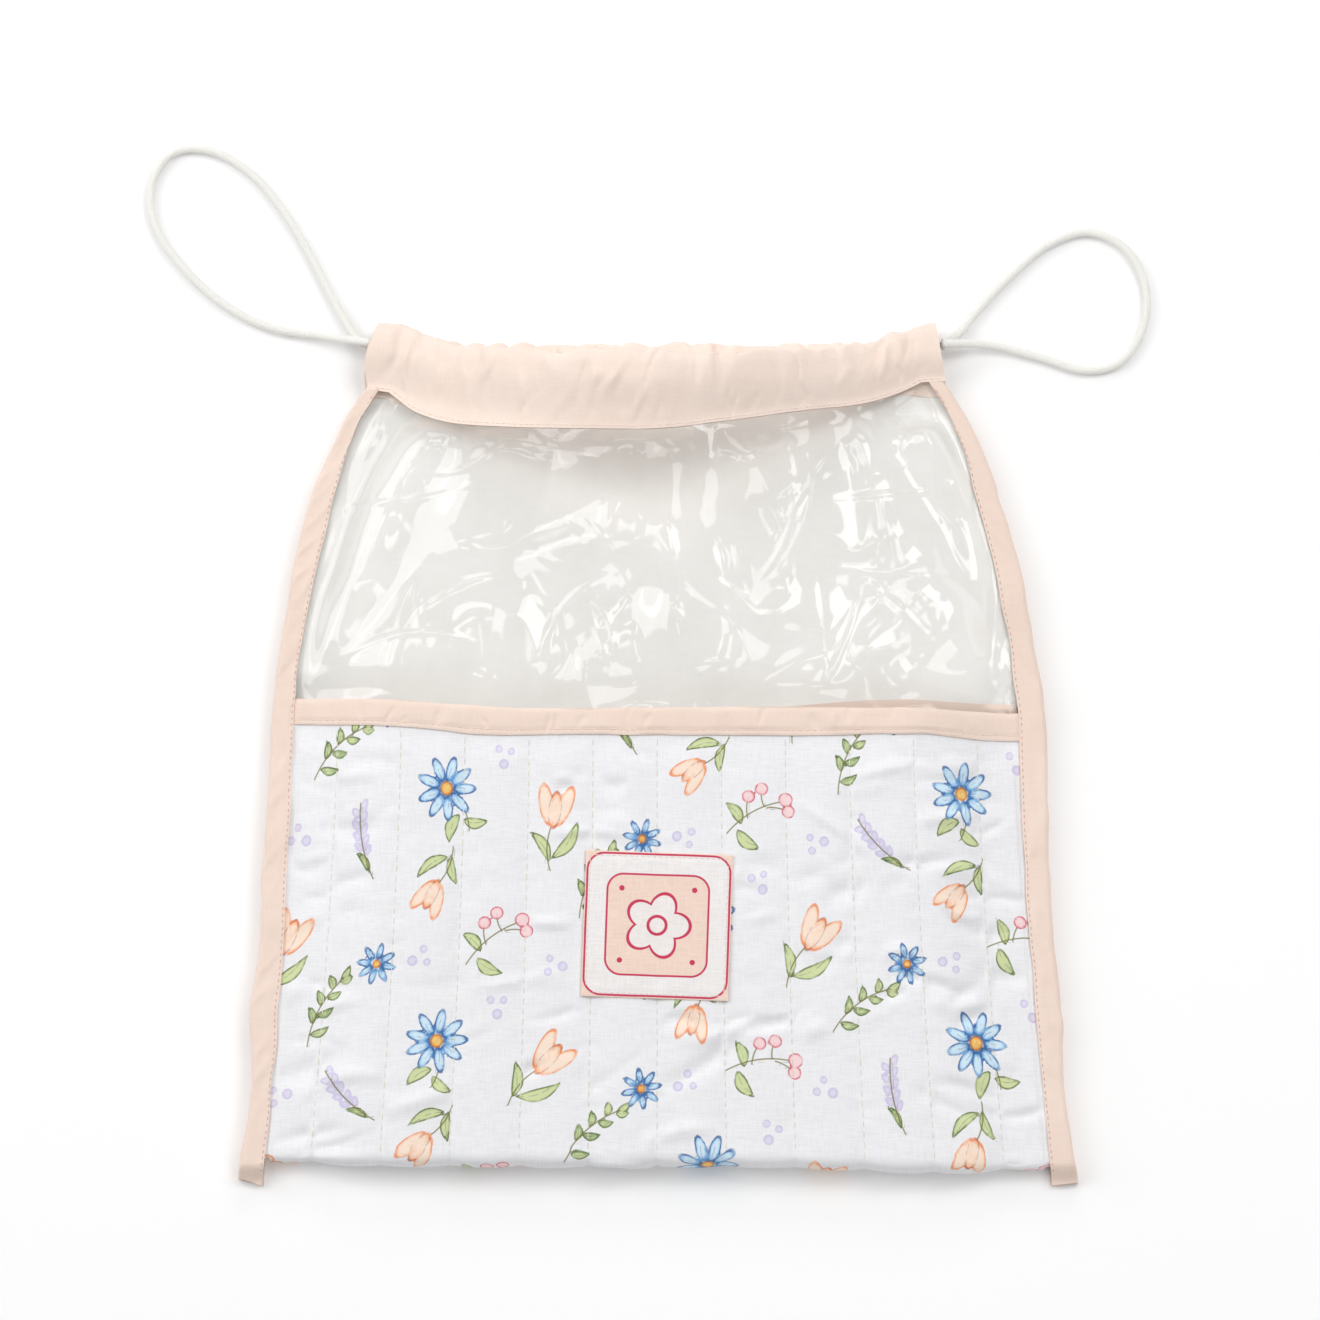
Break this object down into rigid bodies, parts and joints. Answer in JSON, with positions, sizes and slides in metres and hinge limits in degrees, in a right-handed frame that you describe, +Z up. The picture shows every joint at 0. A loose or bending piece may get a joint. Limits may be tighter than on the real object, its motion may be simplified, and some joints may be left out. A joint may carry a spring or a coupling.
{
  "type": "drawcord shoe bag",
  "caption": "Flat quilted cotton pouch with a clear window above the pocket, bound sides and drawcord casings, lying on its back with its mouth a little open.",
  "frame": {"origin": "middle of the bag without its loops, on the surface that it lies on", "axes": "+X across the bag to its right side, +Y from the bottom fold to the mouth, +Z up through the front"},
  "size_m": [0.379, 0.3981, 0.0493],
  "materials": {
    "printed_cotton": "printed quilting cotton, matt",
    "wadding": "soft polyester wadding",
    "lining_cotton": "plain cotton, warm white",
    "clear_vinyl": "clear soft sheet, glossy",
    "peach_cotton": "plain woven cotton, pale peach",
    "cord": "ivory woven cord",
    "label_cotton": "printed cotton patch",
    "thread": "sewing thread"
  },
  "bodies": {
    "bag": {"outer_cover": "printed_cotton", "wadding": "wadding", "inner_lining": "lining_cotton", "window_panel": "clear_vinyl", "cross_band": "peach_cotton", "band_facing": "peach_cotton", "front_casing": "peach_cotton", "back_casing": "peach_cotton", "left_lower_binding": "peach_cotton", "right_lower_binding": "peach_cotton", "front_cord_run": "cord", "back_cord_run": "cord", "left_loop": "cord", "right_loop": "cord", "label": "label_cotton", "quilting_thread": "thread", "band_thread": "thread", "casing_thread": "thread", "label_thread": "thread"},
    "left_side": {"left_upper_binding": "peach_cotton"},
    "right_side": {"right_upper_binding": "peach_cotton"}
  },
  "joints": [
    {"name": "left_gather", "type": "slide", "parent": "bag", "child": "left_side", "axis": [1, 0, 0], "range_m": [-0.045, 0.06], "deforming": ["outer_cover", "wadding", "inner_lining", "window_panel", "front_casing", "back_casing", "front_cord_run", "back_cord_run", "left_loop", "right_loop", "quilting_thread", "casing_thread"]},
    {"name": "right_gather", "type": "slide", "parent": "bag", "child": "right_side", "axis": [-1, 0, 0], "range_m": [-0.045, 0.06], "deforming": ["outer_cover", "wadding", "inner_lining", "window_panel", "front_casing", "back_casing", "front_cord_run", "back_cord_run", "left_loop", "right_loop", "quilting_thread", "casing_thread"]}
  ],
  "couplings": [
    {"joint": "right_gather", "follows": "left_gather", "ratio": 1}
  ]
}
